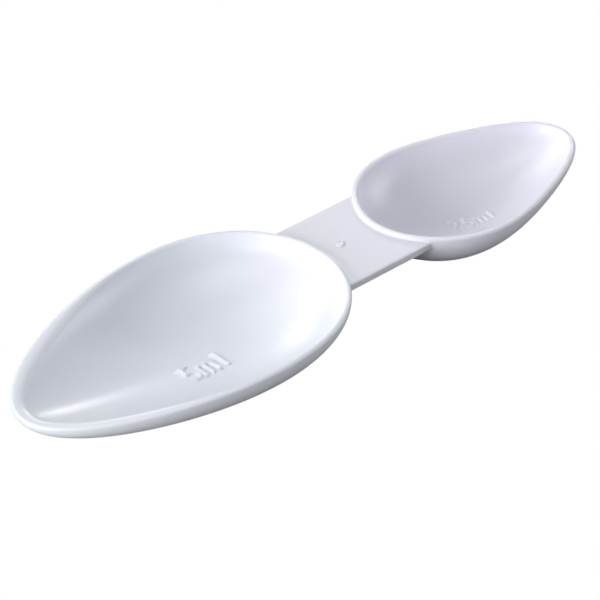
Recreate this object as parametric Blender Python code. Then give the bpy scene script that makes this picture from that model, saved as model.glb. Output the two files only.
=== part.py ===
"""Double-ended medicine spoon, 98 mm long: a 5 ml bowl and a 2.5 ml bowl on one flat bridge.

The real spoon is a single white moulding. Here its three working regions are separate solids,
which meet along the two curved seams just under the rims. Both bowls have the same depth, so the
spoon stands level on the two small flats under them. X runs along the spoon, from the tip of the
large bowl at -X to the tip of the small one at +X. Z = 0 is the surface it stands on.
"""

import math
from typing import NamedTuple

import bmesh
import bpy
import numpy as np

MM = 0.001

# The bowls in plan
LARGE_BOWL_LENGTH = 50.9 * MM
LARGE_BOWL_WIDTH = 32.1 * MM
SMALL_BOWL_LENGTH = 37.7 * MM
SMALL_BOWL_WIDTH = 24.6 * MM

# How each outline leaves the ellipse, as factors on u, u squared and u cubed, with u from -1 to 1
# along X: the large bowl swells towards the bridge, and the small one is fuller there too
LARGE_BOWL_SWELL = (0.236, 0.025, -0.004)
SMALL_BOWL_SWELL = (-0.344, 0.0, 0.2)

# The bowls from the side
RIM_HEIGHT = 8.45 * MM
LARGE_TIP_DROP = 2.2 * MM
LARGE_TIP_TO_DEEPEST = 28.6 * MM
BRIDGE_TO_SMALL_DEEPEST = 12.0 * MM
LARGE_WALL_POWER = 0.50
SMALL_WALL_POWER = 0.55
FLOOR_THICKNESS = 1.2 * MM
FOOT_CUT = 0.12 * MM

# The lip round both bowls
RIM_WIDTH = 0.85 * MM
LIP_RADIUS = 0.35 * MM

# The bridge
BRIDGE_SPAN = 9.4 * MM
BRIDGE_WIDTH = 15.8 * MM
BRIDGE_THICKNESS = 1.15 * MM
BRIDGE_BELOW_RIM = 0.6 * MM
BRIDGE_EDGE_RADIUS = 0.2 * MM
SEAM = 0.3 * MM

# The mark that the moulding gate leaves on the bridge
GATE_DIAMETER = 1.2 * MM
GATE_HEIGHT = 0.2 * MM
GATE_FROM_MIDDLE = 1.3 * MM

# Facets
POINTS_ROUND = 88
WALL_RINGS = 11
LIP_STEPS = 3
BRIDGE_EDGE_STEPS = 3
GATE_SIDES = 20
GATE_RINGS = 3
PLAN_STATIONS = 2001
SHARP_ANGLE = math.radians(35)

# The plastic, as linear colours
LARGE_BOWL_WHITE = (0.79, 0.81, 0.84, 1.0)
SMALL_BOWL_WHITE = (0.76, 0.77, 0.82, 1.0)
BRIDGE_WHITE = (0.80, 0.81, 0.85, 1.0)
PLASTIC_ROUGHNESS = 0.32

# Where the bridge's middle lies when the whole spoon is centred on X = 0
TOTAL_LENGTH = LARGE_BOWL_LENGTH + BRIDGE_SPAN + SMALL_BOWL_LENGTH
BRIDGE_MIDDLE = -TOTAL_LENGTH / 2 + LARGE_BOWL_LENGTH + BRIDGE_SPAN / 2
BRIDGE_TOP = RIM_HEIGHT - BRIDGE_BELOW_RIM
CUTTER_MARGIN = 1.0 * MM


class Bowl(NamedTuple):
    """One bowl's plan and depth."""

    name: str
    start: float  # X of the end at -X
    length: float
    width: float
    swell: tuple
    deepest: float  # X of the deepest point
    tip_drop: float
    wall_power: float  # 0.5 is a quarter ellipse, and less is boxier
    colour: tuple


LARGE_BOWL = Bowl(
    name="large_bowl",
    start=-TOTAL_LENGTH / 2,
    length=LARGE_BOWL_LENGTH,
    width=LARGE_BOWL_WIDTH,
    swell=LARGE_BOWL_SWELL,
    deepest=-TOTAL_LENGTH / 2 + LARGE_TIP_TO_DEEPEST,
    tip_drop=LARGE_TIP_DROP,
    wall_power=LARGE_WALL_POWER,
    colour=LARGE_BOWL_WHITE,
)
SMALL_BOWL = Bowl(
    name="small_bowl",
    start=BRIDGE_MIDDLE + BRIDGE_SPAN / 2,
    length=SMALL_BOWL_LENGTH,
    width=SMALL_BOWL_WIDTH,
    swell=SMALL_BOWL_SWELL,
    deepest=BRIDGE_MIDDLE + BRIDGE_SPAN / 2 + BRIDGE_TO_SMALL_DEEPEST,
    tip_drop=0.0,
    wall_power=SMALL_WALL_POWER,
    colour=SMALL_BOWL_WHITE,
)


def clear_scene():
    """Remove every object that the script starts with."""
    for obj in list(bpy.data.objects):
        bpy.data.objects.remove(obj, do_unlink=True)


def white_plastic(name, colour):
    """Glossy white polypropylene, a little blue-grey in the shade."""
    material = bpy.data.materials.new(name)
    material.use_nodes = True
    shader = material.node_tree.nodes["Principled BSDF"]
    shader.inputs["Base Color"].default_value = colour
    shader.inputs["Roughness"].default_value = PLASTIC_ROUGHNESS
    shader.inputs["Metallic"].default_value = 0.0
    return material


def new_object(name, mesh_builder, colour):
    """Turn a finished bmesh into an object with its own material, shaded smooth."""
    bmesh.ops.recalc_face_normals(mesh_builder, faces=mesh_builder.faces)
    mesh = bpy.data.meshes.new(name)
    mesh_builder.to_mesh(mesh)
    mesh_builder.free()
    mesh.materials.append(white_plastic(f"{name}_plastic", colour))
    mesh.shade_smooth()
    mesh.set_sharp_from_angle(angle=SHARP_ANGLE)
    obj = bpy.data.objects.new(name, mesh)
    bpy.context.scene.collection.objects.link(obj)
    return obj


def plan_shape(swell, along):
    """Half width at u = along, for an ellipse of half width 1 that the swell factors reshape."""
    first, second, third = swell
    return np.sqrt(1 - along**2) * (1 + first * along + second * along**2 + third * along**3)


def outline(bowl, grow=0.0):
    """The rim's plan as points round it, moved outwards by grow."""
    turn = np.linspace(0, 2 * math.pi, POINTS_ROUND, endpoint=False)
    along = np.cos(turn)
    stations = np.linspace(-1, 1, PLAN_STATIONS)
    widest = plan_shape(bowl.swell, stations).max()
    half = bowl.width / 2 * plan_shape(bowl.swell, along) / widest
    points = np.column_stack([bowl.start + bowl.length * (along + 1) / 2, np.sign(np.sin(turn)) * half])
    tangent = np.roll(points, -1, axis=0) - np.roll(points, 1, axis=0)
    outwards = np.column_stack([tangent[:, 1], -tangent[:, 0]])
    outwards /= np.linalg.norm(outwards, axis=1)[:, None]
    return points + outwards * grow


def rim_line(bowl):
    """Height of the rim's top at each point of the outline: it falls away towards the tip."""
    from_tip = (outline(bowl)[:, 0] - bowl.start) / bowl.length
    return RIM_HEIGHT - bowl.tip_drop * (1 - from_tip) ** 2


def wall_rings(bowl, grow, bottom, top, lowest):
    """Level rings of one side of the wall, from the height lowest up to the height top.

    The wall's section is close to a quarter ellipse that would end at the height bottom, over the
    deepest point. Each ring is the outline drawn in towards that point.
    """
    edge = outline(bowl, grow)
    centre = np.array([bowl.deepest, 0.0])
    cut_share = (top - lowest) / (top - bottom)
    first_angle = np.arccos(cut_share ** (0.5 / bowl.wall_power))
    rings = []
    for step in range(WALL_RINGS + 1):
        angle = first_angle + (math.pi / 2 - first_angle) * step / WALL_RINGS
        drawn_in = centre + (edge - centre) * np.sin(angle)[:, None]
        fall = np.clip(np.cos(angle), 0, None) ** (2 * bowl.wall_power)
        rings.append(np.column_stack([drawn_in, top + (bottom - top) * fall]))
    return rings


def lip_rings(bowl):
    """The rounded lip over the rim, from the outer wall to the inner one."""
    top = rim_line(bowl)
    rings = []
    for step in range(1, LIP_STEPS + 1):
        angle = math.pi / 2 * step / LIP_STEPS
        inset = LIP_RADIUS * (1 - math.cos(angle))
        drop = LIP_RADIUS * (1 - math.sin(angle))
        rings.append(np.column_stack([outline(bowl, -inset), top - drop]))
    for step in range(LIP_STEPS):
        angle = math.pi / 2 * step / LIP_STEPS
        inset = RIM_WIDTH - LIP_RADIUS * (1 - math.sin(angle))
        drop = LIP_RADIUS * (1 - math.cos(angle))
        rings.append(np.column_stack([outline(bowl, -inset), top - drop]))
    return rings


def skin_rings(builder, rings, first_pole, last_pole):
    """Join the rings with quads and close both ends with a fan round its pole."""
    loops = [[builder.verts.new(point) for point in ring] for ring in rings]
    for lower, upper in zip(loops, loops[1:]):
        for index in range(POINTS_ROUND):
            after = (index + 1) % POINTS_ROUND
            builder.faces.new((lower[index], lower[after], upper[after], upper[index]))
    for loop, pole in ((loops[0], first_pole), (loops[-1], last_pole)):
        centre = builder.verts.new(pole)
        for index in range(POINTS_ROUND):
            builder.faces.new((loop[index], loop[(index + 1) % POINTS_ROUND], centre))


def make_bowl(bowl):
    """An open shell: outer wall up from the foot, lip, and inner wall down to the floor."""
    wall_top = rim_line(bowl) - LIP_RADIUS
    outer = wall_rings(bowl, 0.0, -FOOT_CUT, wall_top, 0.0)
    inner = wall_rings(bowl, -RIM_WIDTH, FLOOR_THICKNESS, wall_top, FLOOR_THICKNESS)
    inner_down = inner[:0:-1]
    builder = bmesh.new()
    skin_rings(
        builder,
        outer + lip_rings(bowl) + inner_down,
        (bowl.deepest, 0.0, 0.0),
        (bowl.deepest, 0.0, FLOOR_THICKNESS),
    )
    return new_object(bowl.name, builder, bowl.colour)


def make_seam_cutter(bowl):
    """The bowl's outer form, grown by the seam and carried up past the bridge's top."""
    wall_top = rim_line(bowl) - LIP_RADIUS
    outer = wall_rings(bowl, SEAM, -FOOT_CUT - SEAM, wall_top, -SEAM)
    above = RIM_HEIGHT + CUTTER_MARGIN
    outer.append(np.column_stack([outline(bowl, SEAM), np.full(POINTS_ROUND, above)]))
    builder = bmesh.new()
    skin_rings(builder, outer, (bowl.deepest, 0.0, -SEAM), (bowl.deepest, 0.0, above))
    cutter = new_object(f"{bowl.name}_cutter", builder, bowl.colour)
    cutter.hide_render = True
    cutter.display_type = "WIRE"
    return cutter


def make_gate_mark():
    """A low round pip, rooted in the bridge, where the plastic entered the mould."""
    builder = bmesh.new()
    rings = []
    root = BRIDGE_TOP - BRIDGE_THICKNESS / 2
    radius = GATE_DIAMETER / 2
    centre = (BRIDGE_MIDDLE - GATE_FROM_MIDDLE, 0.0)
    sections = [(radius, root)]
    for step in range(GATE_RINGS):
        angle = math.pi / 2 * step / GATE_RINGS
        sections.append((radius * math.cos(angle), BRIDGE_TOP + GATE_HEIGHT * math.sin(angle)))
    for ring_radius, height in sections:
        ring = []
        for side in range(GATE_SIDES):
            turn = 2 * math.pi * side / GATE_SIDES
            x = centre[0] + ring_radius * math.cos(turn)
            y = centre[1] + ring_radius * math.sin(turn)
            ring.append(builder.verts.new((x, y, height)))
        rings.append(ring)
    for lower, upper in zip(rings, rings[1:]):
        for side in range(GATE_SIDES):
            after = (side + 1) % GATE_SIDES
            builder.faces.new((lower[side], lower[after], upper[after], upper[side]))
    top = builder.verts.new((*centre, BRIDGE_TOP + GATE_HEIGHT))
    for side in range(GATE_SIDES):
        builder.faces.new((rings[-1][side], rings[-1][(side + 1) % GATE_SIDES], top))
    builder.faces.new(rings[0])
    mark = new_object("gate_mark_tool", builder, BRIDGE_WHITE)
    mark.hide_render = True
    mark.display_type = "WIRE"
    return mark


def reach_into(bowl, root, half_width):
    """How far the bowl's end at X = root has drawn back where its half width is half_width."""
    points = outline(bowl)
    near_root = abs(points[:, 0] - root) < bowl.length / 2
    beside = near_root & (abs(points[:, 1]) >= half_width)
    if not beside.any():
        return bowl.length / 2
    return abs(points[beside, 0] - root).min()


def make_bridge(large_cutter, small_cutter, gate_mark):
    """A flat plate with rounded long edges, whose ends follow the two bowls at the seam."""
    half_width = BRIDGE_WIDTH / 2
    large_root = LARGE_BOWL.start + LARGE_BOWL.length
    small_root = SMALL_BOWL.start
    left = large_root - reach_into(LARGE_BOWL, large_root, half_width) - RIM_WIDTH
    right = small_root + reach_into(SMALL_BOWL, small_root, half_width) + RIM_WIDTH
    bottom = BRIDGE_TOP - BRIDGE_THICKNESS
    builder = bmesh.new()
    bmesh.ops.create_cube(builder, size=1.0)
    for vert in builder.verts:
        vert.co.x = left if vert.co.x < 0 else right
        vert.co.y *= BRIDGE_WIDTH
        vert.co.z = bottom if vert.co.z < 0 else BRIDGE_TOP
    long_edges = [edge for edge in builder.edges if edge.verts[0].co.x != edge.verts[1].co.x]
    bmesh.ops.bevel(
        builder,
        geom=long_edges,
        offset=min(BRIDGE_EDGE_RADIUS, BRIDGE_THICKNESS / 3),
        segments=BRIDGE_EDGE_STEPS,
        profile=0.5,
        affect="EDGES",
    )
    bridge = new_object("bridge", builder, BRIDGE_WHITE)
    for label, operation, tool in (
        ("gate mark", "UNION", gate_mark),
        ("large bowl seam", "DIFFERENCE", large_cutter),
        ("small bowl seam", "DIFFERENCE", small_cutter),
    ):
        modifier = bridge.modifiers.new(label, "BOOLEAN")
        modifier.operation = operation
        modifier.object = tool
        modifier.solver = "EXACT"
    return bridge


def main():
    clear_scene()
    make_bowl(LARGE_BOWL)
    make_bowl(SMALL_BOWL)
    make_bridge(
        make_seam_cutter(LARGE_BOWL),
        make_seam_cutter(SMALL_BOWL),
        make_gate_mark(),
    )


main()
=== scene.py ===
# %% [markdown]
# # A double-ended medicine spoon
# The spoon is one moulding in white plastic: a 5 ml bowl, a flat bridge to hold it by, and a 2.5 ml
# bowl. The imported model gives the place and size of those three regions. This script adds what the
# eye sees: one seamless skin with an even lip and small fillets, the raised volume marks, the
# plastic and the light.

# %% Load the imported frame
import math

import bpy
import numpy as np
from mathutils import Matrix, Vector


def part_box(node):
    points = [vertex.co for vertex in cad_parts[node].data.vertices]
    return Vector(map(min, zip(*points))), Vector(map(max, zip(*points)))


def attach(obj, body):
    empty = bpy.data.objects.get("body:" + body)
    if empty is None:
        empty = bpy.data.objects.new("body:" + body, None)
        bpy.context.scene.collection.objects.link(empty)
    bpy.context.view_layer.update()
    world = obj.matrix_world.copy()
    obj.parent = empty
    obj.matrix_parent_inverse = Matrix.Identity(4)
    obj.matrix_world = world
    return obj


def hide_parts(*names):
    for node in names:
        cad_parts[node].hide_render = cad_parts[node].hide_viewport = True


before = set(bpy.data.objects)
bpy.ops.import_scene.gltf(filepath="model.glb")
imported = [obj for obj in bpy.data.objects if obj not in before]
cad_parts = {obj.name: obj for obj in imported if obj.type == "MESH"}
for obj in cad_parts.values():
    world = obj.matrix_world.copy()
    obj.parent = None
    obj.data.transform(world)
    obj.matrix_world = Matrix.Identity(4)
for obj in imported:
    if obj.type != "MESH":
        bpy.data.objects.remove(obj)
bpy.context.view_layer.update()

MM = 0.001
large_low, large_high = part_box("large_bowl")
small_low, small_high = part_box("small_bowl")
bridge_low, bridge_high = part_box("bridge")
for name in ("large_bowl", "small_bowl", "bridge"):
    low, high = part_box(name)
    print(name, "from", [round(c / MM, 2) for c in low], "to", [round(c / MM, 2) for c in high], "mm")

# %% [markdown]
# ## The camera
# The spoon is seen from above one side, from far off with a long lens, so that its long lines stay
# nearly parallel. The camera stands on a sphere round a point near the spoon's middle, at the
# height of its rims.

# %% The camera
AZIMUTH = math.radians(-41.88)
ELEVATION = math.radians(35.52)
CAMERA_DISTANCE = 341.6 * MM
LOOK_AT = Vector((-8.07 * MM, -6.59 * MM, large_high.z))
LENS = 156.0
SENSOR = 36.0

towards_camera = Vector(
    (
        math.sin(AZIMUTH) * math.cos(ELEVATION),
        -math.cos(AZIMUTH) * math.cos(ELEVATION),
        math.sin(ELEVATION),
    )
)
camera = bpy.data.objects.new("camera", bpy.data.cameras.new("camera"))
camera.data.lens = LENS
camera.data.sensor_width = SENSOR
camera.location = LOOK_AT + towards_camera * CAMERA_DISTANCE
camera.rotation_euler = towards_camera.to_track_quat("Z", "Y").to_euler()
bpy.context.scene.collection.objects.link(camera)
bpy.context.scene.camera = camera
print("the camera stands", round(camera.location.z / MM), "mm above the floor")

# %% [markdown]
# ## Small helpers
# Every node below is made by one function, which adds it, sets its properties and feeds its inputs.
# A feed is a value, a socket, or a node, which stands for its first output. Colours are written as
# sRGB hex values, as they look on screen, and one function turns them to the linear values that
# Blender works in.


# %% Helpers for nodes and colours
def pick(sockets, key):
    """The socket at a place in the list, or with this identifier or name."""
    if isinstance(key, int):
        return sockets[key]
    return next(socket for socket in sockets if key in (socket.identifier, socket.name))


def add_node(tree, kind, feeds=None, **settings):
    node = tree.nodes.new(kind)
    for name, value in settings.items():
        setattr(node, name, value)
    for key, value in (feeds or {}).items():
        source = value.outputs[0] if isinstance(value, bpy.types.Node) else value
        if isinstance(source, bpy.types.NodeSocket):
            tree.links.new(source, pick(node.inputs, key))
        else:
            pick(node.inputs, key).default_value = source
    return node


def new_tree(name, **inputs):
    """A Geometry Nodes tree with these inputs, and its input and output sockets."""
    tree = bpy.data.node_groups.new(name, "GeometryNodeTree")
    for label, kind in inputs.items():
        tree.interface.new_socket(label, in_out="INPUT", socket_type=f"NodeSocket{kind}")
    tree.interface.new_socket("Geometry", in_out="OUTPUT", socket_type="NodeSocketGeometry")
    return tree, tree.nodes.new("NodeGroupInput").outputs, tree.nodes.new("NodeGroupOutput").inputs


def linear(hex_colour):
    channels = [int(hex_colour[start : start + 2], 16) / 255 for start in (1, 3, 5)]
    return [c / 12.92 if c <= 0.04045 else ((c + 0.055) / 1.055) ** 2.4 for c in channels] + [1.0]


# %% [markdown]
# ## The rims
# Seen from above, each bowl is an ellipse that swells towards one end: its half width at u, which
# runs from -1 to 1 along it, is the ellipse's times 1 + s1 u + s2 u² + s3 u³. The large bowl's rim
# also falls away towards its tip. Both rims are drawn as closed curves in space, because a curve
# can be sampled for its place and its direction.

# %% The rims as curves
RIM_POINTS = 720
LARGE_SWELL = (0.236, 0.025, -0.004)
SMALL_SWELL = (-0.344, 0.0, 0.2)
LARGE_TIP_DROP = 2.2 * MM


def curve_object(name, strokes, closed=False):
    """An object with one poly spline for each list of points."""
    curve = bpy.data.curves.new(name, "CURVE")
    curve.dimensions = "3D"
    for points in strokes:
        spline = curve.splines.new("POLY")
        spline.points.add(len(points) - 1)
        spline.points.foreach_set("co", np.column_stack([points, np.ones(len(points))]).ravel())
        spline.use_cyclic_u = closed
    obj = bpy.data.objects.new(name, curve)
    bpy.context.scene.collection.objects.link(obj)
    return obj


def rim_curve(name, low, high, swell, tip_drop):
    """The top of a bowl's outer edge, all round, starting at its end at +X."""
    turn = np.linspace(0, 2 * math.pi, RIM_POINTS, endpoint=False)
    along = np.cos(turn)
    plan = np.sin(turn) * np.polyval((*reversed(swell), 1.0), along)
    x = low.x + (high.x - low.x) * (along + 1) / 2
    y = (high.y - low.y) / 2 * plan / plan.max()
    z = high.z - tip_drop * ((1 - along) / 2) ** 2
    return curve_object(name, [np.column_stack([x, y, z])], closed=True)


large_rim = rim_curve("large_rim", large_low, large_high, LARGE_SWELL, LARGE_TIP_DROP)
small_rim = rim_curve("small_rim", small_low, small_high, SMALL_SWELL, 0.0)
print("rims with", RIM_POINTS, "points each")

# %% [markdown]
# ## The section of the wall
# All the way round, the wall has one section: it climbs from the foot, rolls over the lip and comes
# down to the floor. It is stored as a row of points whose three coordinates aren't a place but
# instructions: how far out from the deepest point (0 to 1), how far in from the outer edge, and how
# far below the top of the rim. Quarter circles round the lip on both sides, as a mould-maker would.

# %% The section as a row of points
LIP_WIDTH = 0.8 * MM
OUTER_LIP_RADIUS = 0.35 * MM
INNER_LIP_RADIUS = 0.35 * MM
WALL_ROWS = 44
LIP_ROWS = 8


def section_object():
    climb = np.sin(np.linspace(0, math.pi / 2, WALL_ROWS))
    turn = np.linspace(0, math.pi / 2, LIP_ROWS)
    outer_wall = [(out, 0.0, OUTER_LIP_RADIUS) for out in climb]
    outer_round = [
        (1.0, OUTER_LIP_RADIUS * (1 - math.cos(t)), OUTER_LIP_RADIUS * (1 - math.sin(t))) for t in turn[1:]
    ]
    inner_round = [
        (1.0, LIP_WIDTH - INNER_LIP_RADIUS * (1 - math.sin(t)), INNER_LIP_RADIUS * (1 - math.cos(t)))
        for t in turn
    ]
    inner_wall = [(out, LIP_WIDTH, INNER_LIP_RADIUS) for out in climb[-2::-1]]
    mesh = bpy.data.meshes.new("wall_section")
    mesh.from_pydata(outer_wall + outer_round + inner_round + inner_wall, [], [])
    obj = bpy.data.objects.new("wall_section", mesh)
    bpy.context.scene.collection.objects.link(obj)
    return obj


wall_section = section_object()
print("section of", len(wall_section.data.vertices), "points")

# %% [markdown]
# ## A bowl as a loft
# A bowl isn't turned on a lathe, because its plan isn't round, and its lip keeps its own width while
# the walls draw in towards an off-centre deepest point. So this tree makes a loft: a grid whose
# columns stand round the rim and whose rows follow the section. Each vertex looks up its rim point by
# column and its instructions by row.

# %% Tree: a bowl's grid, and what each vertex looks up
MATH = "ShaderNodeMath"
VECTOR = "ShaderNodeVectorMath"
bowl_tree, given, result = new_tree(
    "bowl",
    **{"Rim": "Object", "Section": "Object", "Columns": "Int", "Deepest": "Float", "Floor": "Float"},
    **{"Foot": "Float", "Wall Power": "Float", "Lip Width": "Float"},
    **{"Wide From": "Float", "Wide To": "Float", "Widening": "Float"},
)
rim = add_node(bowl_tree, "GeometryNodeObjectInfo", {"Object": given["Rim"]})
section = add_node(bowl_tree, "GeometryNodeObjectInfo", {"Object": given["Section"]})
rows = add_node(bowl_tree, "GeometryNodeAttributeDomainSize", {0: section.outputs["Geometry"]})
grid = add_node(bowl_tree, "GeometryNodeMeshGrid", {"Vertices X": given["Columns"], "Vertices Y": rows})
index = add_node(bowl_tree, "GeometryNodeInputIndex")
row = add_node(bowl_tree, MATH, {0: index, 1: rows}, operation="MODULO")
column = add_node(bowl_tree, MATH, {0: index, 1: rows}, operation="DIVIDE")
column = add_node(bowl_tree, MATH, {0: column}, operation="FLOOR")
last_column = add_node(bowl_tree, MATH, {0: given["Columns"], 1: 1.0}, operation="SUBTRACT")
turn_share = add_node(bowl_tree, MATH, {0: column, 1: last_column}, operation="DIVIDE")
on_rim = add_node(
    bowl_tree,
    "GeometryNodeSampleCurve",
    {"Curves": rim.outputs["Geometry"], "Factor": turn_share},
    mode="FACTOR",
)
instructions = add_node(
    bowl_tree,
    "GeometryNodeSampleIndex",
    {
        "Geometry": section.outputs["Geometry"],
        "Value": add_node(bowl_tree, "GeometryNodeInputPosition"),
        "Index": row,
    },
    data_type="FLOAT_VECTOR",
)
out, inset, drop = add_node(bowl_tree, "ShaderNodeSeparateXYZ", {0: instructions}).outputs
print("bowl tree, the look-up:", len(bowl_tree.nodes), "nodes")

# %% [markdown]
# ### The lip and its shoulder
# A vertex moves in from the rim, square to the curve, by its inset. Towards the large bowl's tip the
# inside of the lip draws out into a broad, soft shoulder: there, the points past the middle of the
# lip move further in, and lower, the nearer the tip the more. The small bowl's lip only gets a
# little wider towards its tip.

# %% Tree: a bowl's lip
SHOULDER_STEEPNESS = 0.3
UPWARDS = (0.0, 0.0, 1.0)
inwards = add_node(
    bowl_tree, VECTOR, {0: UPWARDS, 1: on_rim.outputs["Tangent"]}, operation="CROSS_PRODUCT"
)
inwards = add_node(bowl_tree, VECTOR, {0: inwards}, operation="NORMALIZE")
half_lip = add_node(bowl_tree, MATH, {0: given["Lip Width"], 1: 0.5}, operation="MULTIPLY")
inside = add_node(bowl_tree, MATH, {0: inset, 1: half_lip}, operation="GREATER_THAN")
widening = add_node(
    bowl_tree,
    "ShaderNodeMapRange",
    {
        "Value": add_node(bowl_tree, "ShaderNodeSeparateXYZ", {0: on_rim.outputs["Position"]}).outputs["X"],
        "From Min": given["Wide From"],
        "From Max": given["Wide To"],
        "To Max": given["Widening"],
    },
    interpolation_type="SMOOTHSTEP",
)
past_middle = add_node(bowl_tree, MATH, {0: inset, 1: half_lip}, operation="SUBTRACT")
past_middle = add_node(bowl_tree, MATH, {0: past_middle, 1: 0.0}, operation="MAXIMUM")
inset = add_node(bowl_tree, MATH, {0: past_middle, 1: widening, 2: inset}, operation="MULTIPLY_ADD")
widened = add_node(bowl_tree, MATH, {0: widening, 1: inside}, operation="MULTIPLY")
deeper = add_node(bowl_tree, MATH, {0: widened, 1: SHOULDER_STEEPNESS, 2: 1.0}, operation="MULTIPLY_ADD")
drop = add_node(bowl_tree, MATH, {0: drop, 1: deeper}, operation="MULTIPLY")
inwards = add_node(bowl_tree, VECTOR, {0: inwards, "Scale": inset}, operation="SCALE")
edge = add_node(bowl_tree, VECTOR, {0: on_rim.outputs["Position"], 1: inwards}, operation="ADD")
print("bowl tree, with the lip:", len(bowl_tree.nodes), "nodes")

# %% [markdown]
# ### The walls and the floor
# In plan, a wall's vertex lies between the deepest point and the lip. In height it falls as a quarter
# of an ellipse, which is the square root of one minus the square of how far out it is. Inside the
# large bowl's tip the power is higher than that root's, so that the floor rises there as a gentle
# ramp. Outside, the ellipse would end a little below the ground, where it is cut flat, and the spoon
# stands on that flat.

# %% Tree: a bowl's walls
RAMP_SHARE = 0.11
WELD = 0.002 * MM
centre = add_node(bowl_tree, "ShaderNodeCombineXYZ", {"X": given["Deepest"]})
place = add_node(
    bowl_tree,
    "ShaderNodeMix",
    {"Factor_Float": out, "A_Vector": centre, "B_Vector": edge},
    data_type="VECTOR",
)
place = add_node(bowl_tree, "ShaderNodeSeparateXYZ", {0: pick(place.outputs, "Result_Vector")})
edge_height = add_node(bowl_tree, "ShaderNodeSeparateXYZ", {0: edge}).outputs["Z"]
spring = add_node(bowl_tree, MATH, {0: edge_height, 1: drop}, operation="SUBTRACT")
out_squared = add_node(bowl_tree, MATH, {0: out, 1: out}, operation="MULTIPLY")
fall = add_node(bowl_tree, MATH, {0: 1.0, 1: out_squared}, operation="SUBTRACT", use_clamp=True)
power = add_node(
    bowl_tree, MATH, {0: widened, 1: RAMP_SHARE, 2: given["Wall Power"]}, operation="MULTIPLY_ADD"
)
fall = add_node(bowl_tree, MATH, {0: fall, 1: power}, operation="POWER")
foot = add_node(bowl_tree, MATH, {0: given["Foot"], 1: -1.0}, operation="MULTIPLY")
bottom = add_node(
    bowl_tree, "ShaderNodeMix", {"Factor_Float": inside, "A_Float": foot, "B_Float": given["Floor"]}
)
height = add_node(
    bowl_tree, "ShaderNodeMix", {"Factor_Float": fall, "A_Float": spring, "B_Float": bottom}
)
height = add_node(bowl_tree, MATH, {0: height, 1: 0.0}, operation="MAXIMUM")
spot = add_node(
    bowl_tree, "ShaderNodeCombineXYZ", {"X": place.outputs["X"], "Y": place.outputs["Y"], "Z": height}
)
shell = add_node(bowl_tree, "GeometryNodeSetPosition", {"Geometry": grid, "Position": spot})
shell = add_node(bowl_tree, "GeometryNodeMergeByDistance", {"Geometry": shell, "Distance": WELD})
bowl_tree.links.new(shell.outputs[0], result["Geometry"])
print("bowl tree, whole:", len(bowl_tree.nodes), "nodes")

# %% [markdown]
# ## The bridge
# The bridge is a flat plate with softened edges, and its ends run into the bowls' outer walls with a
# small fillet, which is how a mould is cut so that the plastic doesn't crack there. This tree starts
# from a cube with many vertices, and gives each of them its place along, across and up the plate.
# The steps below are counted in those vertices.

# %% Tree: the bridge's cube
EDGE_STEPS = 4
FILLET_STEPS = 6
FLAT_STEPS = 36
SPAN_STEPS = 12
SIDE_STEPS = 4
FILLET_OVERLAP = 0.01 * MM
bridge_tree, given, result = new_tree(
    "bridge",
    **{"Bowls": "Geometry", "Middle": "Float", "Width": "Float", "Top": "Float", "Thickness": "Float"},
    **{"Edge Radius": "Float", "Fillet": "Float", "Sink": "Float"},
)
stations = 2 * FILLET_STEPS + SPAN_STEPS + 2
cube = add_node(
    bridge_tree,
    "GeometryNodeMeshCube",
    {
        "Size": (1.0, 1.0, 1.0),
        "Vertices X": stations + 1,
        "Vertices Y": 2 * EDGE_STEPS + FLAT_STEPS + 1,
        "Vertices Z": 2 * EDGE_STEPS + SIDE_STEPS + 1,
    },
)
cube_place = add_node(
    bridge_tree, "ShaderNodeSeparateXYZ", {0: add_node(bridge_tree, "GeometryNodeInputPosition")}
)
print("the plate has", stations + 1, "sections along it")

# %% [markdown]
# ### Its rounded edges
# Across the plate and up it, the outer steps fall in the rounding of the edges and the inner ones on
# the flats. A vertex past both flats is pulled in from a square corner to a round one: its offset is
# scaled by its longer part over its length.

# %% Tree: the bridge's edges
LEAST_LENGTH = 0.0001 * MM

def spaced(axis, flat_steps, size):
    """The coordinate across the plate: short steps in the round edges, longer ones between them."""
    steps = 2 * EDGE_STEPS + flat_steps
    half = add_node(bridge_tree, MATH, {0: size, 1: 0.5}, operation="MULTIPLY")
    flat_half = add_node(bridge_tree, MATH, {0: half, 1: given["Edge Radius"]}, operation="SUBTRACT")
    step = add_node(bridge_tree, MATH, {0: cube_place.outputs[axis], 1: steps}, operation="MULTIPLY")
    on_flat = add_node(
        bridge_tree,
        "ShaderNodeMapRange",
        {
            "Value": step,
            "From Min": -flat_steps / 2,
            "From Max": flat_steps / 2,
            "To Min": add_node(bridge_tree, MATH, {0: flat_half, 1: -1.0}, operation="MULTIPLY"),
            "To Max": flat_half,
        },
    )
    in_edge = add_node(bridge_tree, MATH, {0: step}, operation="ABSOLUTE")
    in_edge = add_node(
        bridge_tree,
        "ShaderNodeMapRange",
        {
            "Value": in_edge,
            "From Min": flat_steps / 2,
            "From Max": flat_steps / 2 + EDGE_STEPS,
            "To Max": given["Edge Radius"],
        },
    )
    side = add_node(bridge_tree, MATH, {0: step}, operation="SIGN")
    past_flat = add_node(bridge_tree, MATH, {0: in_edge, 1: side}, operation="MULTIPLY")
    return on_flat, past_flat


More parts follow.
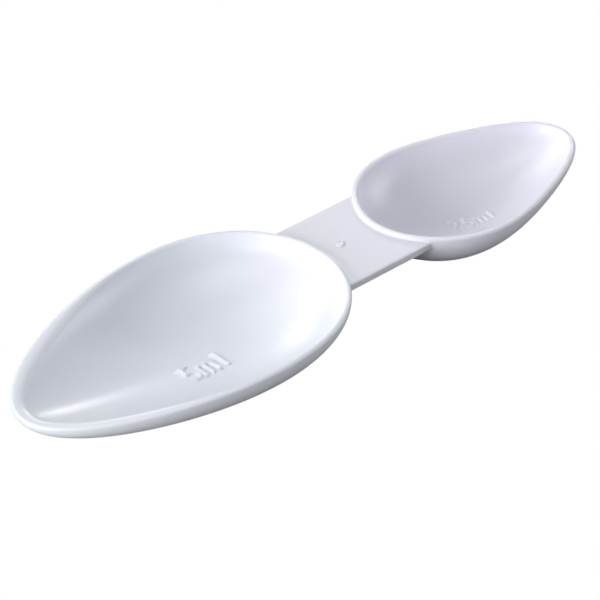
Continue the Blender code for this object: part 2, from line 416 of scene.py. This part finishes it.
flat_y, past_y = spaced("Y", FLAT_STEPS, given["Width"])
flat_z, past_z = spaced("Z", SIDE_STEPS, given["Thickness"])
past = add_node(bridge_tree, "ShaderNodeCombineXYZ", {"Y": past_y, "Z": past_z})
past_length = add_node(bridge_tree, VECTOR, {0: past}, operation="LENGTH").outputs["Value"]
past_length = add_node(bridge_tree, MATH, {0: past_length, 1: LEAST_LENGTH}, operation="MAXIMUM")
across, up = [
    add_node(bridge_tree, MATH, {0: part}, operation="ABSOLUTE") for part in (past_y, past_z)
]
longer = add_node(bridge_tree, MATH, {0: across, 1: up}, operation="MAXIMUM")
rounding = add_node(bridge_tree, MATH, {0: longer, 1: past_length}, operation="DIVIDE")
print("bridge tree, with round edges:", len(bridge_tree.nodes), "nodes")

# %% [markdown]
# ### Its fillets
# Near each wall the section swells along a quarter circle, which is the fillet. The last section at
# each end is sunk into the wall, so that the Boolean below meets no faces that just touch.

# %% Tree: the bridge's fillets
station = add_node(
    bridge_tree, MATH, {0: cube_place.outputs["X"], 1: stations, 2: stations / 2}, operation="MULTIPLY_ADD"
)
to_last = add_node(bridge_tree, MATH, {0: stations, 1: station}, operation="SUBTRACT")


def fillet_at(steps_from_end):
    """How far the plate stands off the wall here, and how far its section swells."""
    turn = add_node(
        bridge_tree,
        "ShaderNodeMapRange",
        {"Value": steps_from_end, "From Min": 1.0, "From Max": 1.0 + FILLET_STEPS, "To Max": math.pi / 2},
    )
    reach = add_node(bridge_tree, MATH, {0: turn}, operation="COSINE")
    reach = add_node(bridge_tree, MATH, {0: 1.0, 1: reach}, operation="SUBTRACT")
    off_wall = add_node(
        bridge_tree, MATH, {0: reach, 1: given["Fillet"], 2: -FILLET_OVERLAP}, operation="MULTIPLY_ADD"
    )
    sunk = add_node(bridge_tree, MATH, {0: 1.0, 1: steps_from_end}, operation="SUBTRACT", use_clamp=True)
    sunk = add_node(bridge_tree, MATH, {0: sunk, 1: given["Sink"]}, operation="MULTIPLY")
    off_wall = add_node(bridge_tree, MATH, {0: off_wall, 1: sunk}, operation="SUBTRACT")
    sine = add_node(bridge_tree, MATH, {0: turn}, operation="SINE")
    return off_wall, add_node(bridge_tree, MATH, {0: 1.0, 1: sine}, operation="SUBTRACT")


off_large, swell_large = fillet_at(station)
off_small, swell_small = fillet_at(to_last)
swollen = add_node(bridge_tree, MATH, {0: swell_large, 1: swell_small}, operation="MAXIMUM")
swollen = add_node(bridge_tree, MATH, {0: swollen, 1: given["Fillet"]}, operation="MULTIPLY")
swollen = add_node(bridge_tree, MATH, {0: swollen, 1: given["Edge Radius"]}, operation="DIVIDE")
swollen = add_node(bridge_tree, MATH, {0: swollen, 1: 1.0}, operation="ADD")
growth = add_node(bridge_tree, MATH, {0: rounding, 1: swollen}, operation="MULTIPLY")
past = add_node(bridge_tree, VECTOR, {0: past, "Scale": growth}, operation="SCALE")
print("bridge tree, with fillets:", len(bridge_tree.nodes), "nodes")

# %% [markdown]
# ### Its reach
# The bowls' walls curve in plan and in section, so each vertex finds its own end of the plate: a ray
# from the middle, along X, hits the wall to its left and the wall to its right.

# %% Tree: the bridge's reach
mid_height = add_node(
    bridge_tree, MATH, {0: given["Thickness"], 1: -0.5, 2: given["Top"]}, operation="MULTIPLY_ADD"
)
level = add_node(bridge_tree, MATH, {0: flat_z, 1: mid_height}, operation="ADD")
in_section = add_node(bridge_tree, "ShaderNodeCombineXYZ", {"X": given["Middle"], "Y": flat_y, "Z": level})
in_section = add_node(bridge_tree, VECTOR, {0: in_section, 1: past}, operation="ADD")
walls = []
for direction in ((-1.0, 0.0, 0.0), (1.0, 0.0, 0.0)):
    ray = add_node(
        bridge_tree,
        "GeometryNodeRaycast",
        {"Target Geometry": given["Bowls"], "Source Position": in_section, "Ray Direction": direction},
    )
    walls.append(
        add_node(bridge_tree, "ShaderNodeSeparateXYZ", {0: ray.outputs["Hit Position"]}).outputs["X"]
    )
from_x = add_node(bridge_tree, MATH, {0: walls[0], 1: off_large}, operation="ADD")
to_x = add_node(bridge_tree, MATH, {0: walls[1], 1: off_small}, operation="SUBTRACT")
x = add_node(
    bridge_tree,
    "ShaderNodeMapRange",
    {
        "Value": station,
        "From Min": 1.0 + FILLET_STEPS,
        "From Max": 1.0 + FILLET_STEPS + SPAN_STEPS,
        "To Min": from_x,
        "To Max": to_x,
    },
)
section = add_node(bridge_tree, "ShaderNodeSeparateXYZ", {0: in_section})
spot = add_node(
    bridge_tree, "ShaderNodeCombineXYZ", {"X": x, "Y": section.outputs["Y"], "Z": section.outputs["Z"]}
)
plate = add_node(bridge_tree, "GeometryNodeSetPosition", {"Geometry": cube, "Position": spot})
bridge_tree.links.new(plate.outputs[0], result["Geometry"])
print("bridge tree, whole:", len(bridge_tree.nodes), "nodes")

# %% [markdown]
# ## The raised marks
# The bowls carry their volumes, which a maker engraves into the mould with a round-nosed cutter, so
# that they stand up as low rounded ridges. The lettering here is drawn as plain strokes, arcs and
# lines. Each figure has its advance, which is how far the pen moves on to the next one, and its
# strokes, in units of the figure height.

# %% Strokes of the figures
ARC_STEPS = 12


def arc(centre, radius, start, end):
    """Points on part of a circle, with angles in degrees."""
    turn = np.radians(np.linspace(start, end, ARC_STEPS))
    return [(centre[0] + radius * math.cos(t), centre[1] + radius * math.sin(t)) for t in turn]


FIGURES = {
    "5": (0.52, [[(0.34, 0.94), (0.04, 0.94), (0.02, 0.55)] + arc((0.15, 0.34), 0.24, 120, -140)]),
    "2": (0.52, [arc((0.18, 0.73), 0.21, 160, -35) + [(0.0, 0.05), (0.38, 0.05)]]),
    ".": (0.26, [[(0.05, 0.05), (0.05, 0.08)]]),
    "m": (
        0.92,
        [
            [(0.0, 0.0), (0.0, 0.72)],
            [(0.0, 0.55)] + arc((0.145, 0.55), 0.145, 180, 0) + [(0.29, 0.0)],
            [(0.29, 0.55)] + arc((0.435, 0.55), 0.145, 180, 0) + [(0.58, 0.0)],
        ],
    ),
    "l": (0.2, [[(0.0, 0.0), (0.0, 1.0)]]),
}
print("figures:", " ".join(FIGURES))


# %% The two marks
# The large bowl's mark is clear. The small one's is turned a little and hardly stands out.
def mark_strokes(text, height, start, turned):
    """The strokes of a mark whose first figure stands at start, in plan, turned by some degrees."""
    turn = math.radians(turned)
    strokes = []
    pen = 0.0
    for figure in text:
        advance, lines = FIGURES[figure]
        for line in lines:
            along, up = (np.array(line) + (pen, 0.0)).T * height
            x = start[0] + along * math.cos(turn) - up * math.sin(turn)
            y = start[1] + along * math.sin(turn) + up * math.cos(turn)
            strokes.append(np.column_stack([x, y, np.zeros(len(line))]))
        pen += advance
    return strokes


LARGE_MARK_HEIGHT = 4.0 * MM
LARGE_MARK_START = (-24.0 * MM, -4.2 * MM)
SMALL_MARK_HEIGHT = 2.8 * MM
SMALL_MARK_START = (25.9 * MM, -1.6 * MM)
SMALL_MARK_TURN = -20
large_mark = curve_object("large_mark", mark_strokes("5ml", LARGE_MARK_HEIGHT, LARGE_MARK_START, 0))
small_mark = curve_object(
    "small_mark", mark_strokes("2.5ml", SMALL_MARK_HEIGHT, SMALL_MARK_START, SMALL_MARK_TURN)
)
print("marks of", len(large_mark.data.splines), "and", len(small_mark.data.splines), "strokes")

# %% [markdown]
# ### From strokes to ridges
# This tree drops each stroke onto the floor of its bowl and lays a round tube along it, sunk so far
# that a low ridge of the given width and height stands out. Over its last radius the tube narrows to
# nothing along a circle, which rounds its ends.

# %% Tree: a raised mark
OVERHEAD = (0.0, 0.0, 0.1)
STROKE_WELD = 0.001 * MM
mark_tree, given, result = new_tree(
    "raised mark",
    **{"Strokes": "Object", "Bowls": "Geometry", "Stroke Width": "Float", "Stroke Height": "Float"},
    **{"Step": "Float", "Sides": "Int"},
)
strokes = add_node(mark_tree, "GeometryNodeObjectInfo", {"Object": given["Strokes"]})
strokes = add_node(
    mark_tree,
    "GeometryNodeResampleCurve",
    {"Curve": strokes.outputs["Geometry"], "Length": given["Step"]},
    mode="LENGTH",
)
half_width = add_node(mark_tree, MATH, {0: given["Stroke Width"], 1: 0.5}, operation="MULTIPLY")
half_squared = add_node(mark_tree, MATH, {0: half_width, 1: half_width}, operation="MULTIPLY")
high_squared = add_node(
    mark_tree, MATH, {0: given["Stroke Height"], 1: given["Stroke Height"]}, operation="MULTIPLY"
)
radius = add_node(mark_tree, MATH, {0: half_squared, 1: high_squared}, operation="ADD")
radius = add_node(mark_tree, MATH, {0: radius, 1: given["Stroke Height"]}, operation="DIVIDE")
radius = add_node(mark_tree, MATH, {0: radius, 1: 0.5}, operation="MULTIPLY")
depth = add_node(mark_tree, MATH, {0: given["Stroke Height"], 1: radius}, operation="SUBTRACT")
above = add_node(
    mark_tree,
    VECTOR,
    {0: add_node(mark_tree, "GeometryNodeInputPosition"), 1: OVERHEAD},
    operation="ADD",
)
ray = add_node(
    mark_tree,
    "GeometryNodeRaycast",
    {"Target Geometry": given["Bowls"], "Source Position": above, "Ray Direction": (0.0, 0.0, -1.0)},
)
sunk = add_node(mark_tree, VECTOR, {0: ray.outputs["Hit Normal"], "Scale": depth}, operation="SCALE")
spot = add_node(mark_tree, VECTOR, {0: ray.outputs["Hit Position"], 1: sunk}, operation="ADD")
strokes = add_node(mark_tree, "GeometryNodeSetPosition", {"Geometry": strokes, "Position": spot})
length = add_node(mark_tree, "GeometryNodeSplineLength")
passed = add_node(mark_tree, "GeometryNodeSplineParameter").outputs["Length"]
to_end = add_node(mark_tree, MATH, {0: length, 1: passed}, operation="SUBTRACT")
to_end = add_node(mark_tree, MATH, {0: to_end, 1: passed}, operation="MINIMUM")
short = add_node(mark_tree, MATH, {0: to_end, 1: radius}, operation="DIVIDE", use_clamp=True)
short = add_node(mark_tree, MATH, {0: 1.0, 1: short}, operation="SUBTRACT")
short = add_node(mark_tree, MATH, {0: short, 1: short}, operation="MULTIPLY")
fullness = add_node(mark_tree, MATH, {0: 1.0, 1: short}, operation="SUBTRACT", use_clamp=True)
fullness = add_node(mark_tree, MATH, {0: fullness}, operation="SQRT")
profile = add_node(
    mark_tree, "GeometryNodeCurvePrimitiveCircle", {"Resolution": given["Sides"], "Radius": radius}
)
tubes = add_node(
    mark_tree, "GeometryNodeCurveToMesh", {"Curve": strokes, "Profile Curve": profile, "Scale": fullness}
)
tubes = add_node(mark_tree, "GeometryNodeMergeByDistance", {"Geometry": tubes, "Distance": STROKE_WELD})
mark_tree.links.new(tubes.outputs[0], result["Geometry"])
print("mark tree:", len(mark_tree.nodes), "nodes")

# %% [markdown]
# ## The plastic
# Such spoons are injection-moulded polypropylene, coloured white with a trace of blue. A polished
# mould leaves a semi-gloss skin: broad soft highlights over a very fine grain. The pigment isn't
# mixed quite evenly, so the white turns slowly from bluish in the large bowl to lilac in the small
# one, and its tone and gloss drift a little over a centimetre or so. Polypropylene is a little
# cloudy, so light sinks about a millimetre in, which softens the shading at the lip.

# %% Injection-moulded polypropylene
plastic = bpy.data.materials.new("injection_moulded_polypropylene")
plastic.use_nodes = True
shader = plastic.node_tree
skin = shader.nodes["Principled BSDF"]
skin.inputs["IOR"].default_value = 1.49
skin.inputs["Subsurface Weight"].default_value = 0.15
skin.inputs["Subsurface Scale"].default_value = 0.8 * MM
skin.inputs["Subsurface Radius"].default_value = (1.0, 1.0, 1.0)
print("material", plastic.name, "with IOR", round(skin.inputs["IOR"].default_value, 2))

# %% Its colour, gloss and grain
position = add_node(shader, "ShaderNodeTexCoord").outputs["Object"]
FLOW_SIZE = 14 * MM
flow = add_node(shader, "ShaderNodeTexNoise", {"Vector": position, "Scale": 1 / FLOW_SIZE, "Detail": 2.0})
blue, lilac = [
    add_node(
        shader,
        "ShaderNodeMix",
        {"Factor_Float": flow, "A_Color": linear(lighter), "B_Color": linear(deeper)},
        data_type="RGBA",
    )
    for lighter, deeper in (("#E7EAF2", "#E2E6EF"), ("#E9E9F3", "#E4E4F0"))
]
along = add_node(
    shader,
    "ShaderNodeMapRange",
    {
        "Value": add_node(shader, "ShaderNodeSeparateXYZ", {0: position}).outputs["X"],
        "From Min": large_high.x - 12 * MM,
        "From Max": small_low.x + 4 * MM,
    },
)
tint = add_node(
    shader,
    "ShaderNodeMix",
    {
        "Factor_Float": along,
        "A_Color": pick(blue.outputs, "Result_Color"),
        "B_Color": pick(lilac.outputs, "Result_Color"),
    },
    data_type="RGBA",
)
polish = add_node(shader, "ShaderNodeMapRange", {"Value": flow, "To Min": 0.29, "To Max": 0.34})
GRAIN_SIZE = 0.25 * MM
GRAIN_DEPTH = 0.003 * MM
grain = add_node(shader, "ShaderNodeTexNoise", {"Vector": position, "Scale": 1 / GRAIN_SIZE})
relief = add_node(shader, "ShaderNodeBump", {"Height": grain, "Distance": GRAIN_DEPTH})
shader.links.new(pick(tint.outputs, "Result_Color"), skin.inputs["Base Color"])
shader.links.new(polish.outputs["Result"], skin.inputs["Roughness"])
shader.links.new(relief.outputs["Normal"], skin.inputs["Normal"])
print("plastic of", len(shader.nodes), "nodes")

# %% [markdown]
# ## The moulding
# The last tree makes both bowls, the bridge and its gate mark, and the raised marks, and unites them
# into one closed skin with an exact Boolean, so that light and reflections run over it without a
# seam. Its inputs are the spoon's sizes.

# %% Tree: the parts of the spoon
spoon_tree, given, result = new_tree(
    "spoon",
    **{"Large Rim": "Object", "Small Rim": "Object", "Section": "Object"},
    **{"Large Strokes": "Object", "Small Strokes": "Object"},
    **{"Large Deepest": "Float", "Small Deepest": "Float"},
    **{"Large Power": "Float", "Small Power": "Float"},
    **{"Lip Width": "Float", "Floor": "Float", "Foot": "Float"},
    **{"Large Wide From": "Float", "Large Wide To": "Float", "Large Widening": "Float"},
    **{"Small Wide From": "Float", "Small Wide To": "Float", "Small Widening": "Float"},
    **{"Large Columns": "Int", "Small Columns": "Int"},
    **{"Bridge Middle": "Float", "Bridge Width": "Float"},
    **{"Bridge Top": "Float", "Bridge Thickness": "Float"},
    **{"Edge Radius": "Float", "Fillet": "Float", "Sink": "Float"},
    **{"Gate Offset": "Float", "Gate Radius": "Float", "Gate Height": "Float"},
    **{"Large Stroke Width": "Float", "Large Stroke Height": "Float"},
    **{"Small Stroke Width": "Float", "Small Stroke Height": "Float"},
    **{"Stroke Step": "Float", "Stroke Sides": "Int"},
    **{"Plastic": "Material"},
)
bowls = [
    add_node(
        spoon_tree,
        "GeometryNodeGroup",
        {
            "Rim": given[f"{size} Rim"],
            "Section": given["Section"],
            "Columns": given[f"{size} Columns"],
            "Deepest": given[f"{size} Deepest"],
            "Floor": given["Floor"],
            "Foot": given["Foot"],
            "Wall Power": given[f"{size} Power"],
            "Lip Width": given["Lip Width"],
            "Wide From": given[f"{size} Wide From"],
            "Wide To": given[f"{size} Wide To"],
            "Widening": given[f"{size} Widening"],
        },
        node_tree=bowl_tree,
    )
    for size in ("Large", "Small")
]
both = add_node(spoon_tree, "GeometryNodeJoinGeometry")
for bowl in reversed(bowls):
    spoon_tree.links.new(bowl.outputs[0], both.inputs[0])
bridge = add_node(
    spoon_tree,
    "GeometryNodeGroup",
    {
        "Middle": given["Bridge Middle"],
        "Width": given["Bridge Width"],
        "Top": given["Bridge Top"],
        "Thickness": given["Bridge Thickness"],
        "Edge Radius": given["Edge Radius"],
        "Fillet": given["Fillet"],
        "Sink": given["Sink"],
        "Bowls": both,
    },
    node_tree=bridge_tree,
)
marks = [
    add_node(
        spoon_tree,
        "GeometryNodeGroup",
        {
            "Strokes": given[f"{size} Strokes"],
            "Bowls": both,
            "Stroke Width": given[f"{size} Stroke Width"],
            "Stroke Height": given[f"{size} Stroke Height"],
            "Step": given["Stroke Step"],
            "Sides": given["Stroke Sides"],
        },
        node_tree=mark_tree,
    )
    for size in ("Large", "Small")
]
print("spoon tree, the parts:", len(spoon_tree.nodes), "nodes")

# %% [markdown]
# ### The gate mark, and one skin
# The plastic enters the mould through a gate in the bridge, which leaves a small flat pip on top.
# The parts overlap a little, and the Boolean also unites what crosses itself inside one input.

# %% Tree: the gate mark and the union
pip = add_node(
    spoon_tree, "GeometryNodeMeshUVSphere", {"Segments": 32, "Rings": 16, "Radius": given["Gate Radius"]}
)
pip_x = add_node(
    spoon_tree, MATH, {0: given["Bridge Middle"], 1: given["Gate Offset"]}, operation="SUBTRACT"
)
pip_flat = add_node(
    spoon_tree, MATH, {0: given["Gate Height"], 1: given["Gate Radius"]}, operation="DIVIDE"
)
pip = add_node(
    spoon_tree,
    "GeometryNodeTransform",
    {
        "Geometry": pip,
        "Translation": add_node(spoon_tree, "ShaderNodeCombineXYZ", {"X": pip_x, "Z": given["Bridge Top"]}),
        "Scale": add_node(spoon_tree, "ShaderNodeCombineXYZ", {"X": 1.0, "Y": 1.0, "Z": pip_flat}),
    },
)
united = add_node(spoon_tree, "GeometryNodeMeshBoolean", operation="UNION", solver="EXACT")
pick(united.inputs, "Self Intersection").default_value = True
for part in (both, bridge, pip, *marks):
    spoon_tree.links.new(part.outputs[0], united.inputs["Mesh 2"])
smooth = add_node(spoon_tree, "GeometryNodeSetShadeSmooth", {"Geometry": united.outputs["Mesh"]})
real = add_node(spoon_tree, "GeometryNodeRealizeInstances", {"Geometry": smooth})
dressed = add_node(
    spoon_tree, "GeometryNodeSetMaterial", {"Geometry": real, "Material": given["Plastic"]}
)
spoon_tree.links.new(dressed.outputs[0], result["Geometry"])
print("spoon tree, whole:", len(spoon_tree.nodes), "nodes")

# %% [markdown]
# ### The sizes
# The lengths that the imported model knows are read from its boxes. The others are the spoon's own.

# %% The sizes
SIZES = {
    "Large Rim": large_rim,
    "Small Rim": small_rim,
    "Section": wall_section,
    "Large Strokes": large_mark,
    "Small Strokes": small_mark,
    "Large Deepest": large_low.x + 28.6 * MM,
    "Small Deepest": small_low.x + 12.0 * MM,
    "Large Power": 0.50,
    "Small Power": 0.55,
    "Lip Width": LIP_WIDTH,
    "Large Wide From": large_low.x + 28.0 * MM,
    "Large Wide To": large_low.x + 8.0 * MM,
    "Large Widening": 3.2,
    "Small Wide From": small_low.x,
    "Small Wide To": small_high.x,
    "Small Widening": 0.24,
    "Floor": 1.2 * MM,
    "Foot": 0.12 * MM,
    "Large Columns": 289,
    "Small Columns": 233,
    "Bridge Middle": (large_high.x + small_low.x) / 2,
    "Bridge Width": bridge_high.y - bridge_low.y,
    "Bridge Top": large_high.z - 0.6 * MM,
    "Bridge Thickness": 1.15 * MM,
    "Edge Radius": 0.2 * MM,
    "Fillet": 0.2 * MM,
    "Sink": 0.3 * MM,
    "Gate Offset": 1.3 * MM,
    "Gate Radius": 0.6 * MM,
    "Gate Height": 0.2 * MM,
    "Large Stroke Width": 0.85 * MM,
    "Large Stroke Height": 0.28 * MM,
    "Small Stroke Width": 0.65 * MM,
    "Small Stroke Height": 0.12 * MM,
    "Stroke Step": 0.07 * MM,
    "Stroke Sides": 16,
    "Plastic": plastic,
}
print(len(SIZES), "sizes and settings")

# %% [markdown]
# ### The moulding as a plain mesh
# A modifier on an empty holder runs the tree once. Its result is kept as a plain mesh, which stands
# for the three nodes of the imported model, and the holder and the curves are removed.

# %% The moulding as a plain mesh
holder = bpy.data.objects.new("holder", bpy.data.meshes.new("holder"))
bpy.context.scene.collection.objects.link(holder)
modifier = holder.modifiers.new("spoon", "NODES")
modifier.node_group = spoon_tree
for item in spoon_tree.interface.items_tree:
    if item.in_out == "INPUT":
        modifier[item.identifier] = SIZES[item.name]
bpy.context.view_layer.update()
moulded = bpy.data.meshes.new_from_object(holder.evaluated_get(bpy.context.evaluated_depsgraph_get()))
spoon = bpy.data.objects.new("spoon_moulding", moulded)
bpy.context.scene.collection.objects.link(spoon)
for helper in (holder, large_rim, small_rim, wall_section, large_mark, small_mark):
    bpy.data.objects.remove(helper, do_unlink=True)
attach(spoon, "root")
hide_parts("large_bowl", "bridge", "small_bowl")
print("moulding of", len(moulded.vertices), "vertices and", len(moulded.polygons), "faces")

# %% [markdown]
# ## The floor and the light
# In a product photo on pure white, the paper is lit so strongly that it shows no tone at all, while
# the spoon gets soft light from its own lamps. A Light Path node does the same here: the floor and
# the backdrop look white to the camera, and the spoon is lit only by the lamps and by what the
# floor throws back. The key lamp is low, beyond the large bowl's tip, so that light runs into both
# bowls and brightens the ends they turn towards it. Wide soft lamps fill in from the other sides.
# A tall strip draws the bright streak along the large bowl's hollow, and a small card close by
# draws the fine line on its near lip.

# %% The floor
FLOOR_SIZE = 4.0
floor_mesh = bpy.data.meshes.new("floor")
reach = FLOOR_SIZE / 2
floor_mesh.from_pydata(
    [(-reach, -reach, 0.0), (reach, -reach, 0.0), (reach, reach, 0.0), (-reach, reach, 0.0)],
    [],
    [(0, 1, 2, 3)],
)
floor = bpy.data.objects.new("floor", floor_mesh)
bpy.context.scene.collection.objects.link(floor)
paper = bpy.data.materials.new("white_paper")
paper.use_nodes = True
paper_tree = paper.node_tree
matt = paper_tree.nodes["Principled BSDF"]
matt.inputs["Base Color"].default_value = linear("#989899")
matt.inputs["Roughness"].default_value = 0.9
seen = add_node(paper_tree, "ShaderNodeLightPath").outputs["Is Camera Ray"]
white = add_node(paper_tree, "ShaderNodeEmission")
paper_look = add_node(paper_tree, "ShaderNodeMixShader", {0: seen, 1: matt, 2: white})
paper_tree.links.new(paper_look.outputs[0], paper_tree.nodes["Material Output"].inputs["Surface"])
floor_mesh.materials.append(paper)
print("the floor is", FLOOR_SIZE, "m wide")

# %% The backdrop
world = bpy.data.worlds.new("studio")
world.use_nodes = True
sky = world.node_tree
seen = add_node(sky, "ShaderNodeLightPath").outputs["Is Camera Ray"]
sky.links.new(seen, sky.nodes["Background"].inputs["Strength"])
sky.nodes["Background"].inputs["Color"].default_value = (1.0, 1.0, 1.0, 1.0)
bpy.context.scene.world = world
bpy.context.scene.view_settings.view_transform = "Standard"
print("colours are shown as they are, with the view transform Standard")

# %% The lamps
LAMP_DISTANCE = 1.0
CARD_DISTANCE = 120 * MM
CARD_AIM = Vector((large_low.x + 15 * MM, 0.0, 0.0))


def soft_lamp(name, azimuth, elevation, width, height, power, aim=Vector(), distance=LAMP_DISTANCE):
    """A lamp on a sphere round its aim, with angles in degrees, sizes in metres and power in watts."""
    around = math.radians(azimuth)
    up = math.radians(elevation)
    direction = Vector((math.sin(around) * math.cos(up), -math.cos(around) * math.cos(up), math.sin(up)))
    data = bpy.data.lights.new(name, "AREA")
    data.shape = "RECTANGLE"
    data.size = width
    data.size_y = height
    data.energy = power
    lamp = bpy.data.objects.new(name, data)
    lamp.location = aim + direction * distance
    lamp.rotation_euler = direction.to_track_quat("Z", "Y").to_euler()
    bpy.context.scene.collection.objects.link(lamp)


soft_lamp("key", -90, 12, 0.5, 0.5, 10.4)
soft_lamp("front", -60, 35, 0.5, 0.5, 1.7)
soft_lamp("back", 180, 45, 0.6, 0.6, 3.4)
soft_lamp("top", 0, 90, 0.5, 0.5, 2.1)
soft_lamp("fill", 60, 12, 0.8, 0.8, 6.0)
soft_lamp("strip", 133, 21, 0.07, 0.2, 1.15)
soft_lamp("card", 147, 27, 10 * MM, 22 * MM, 0.011, CARD_AIM, CARD_DISTANCE)
print(len(bpy.data.lights), "lamps")
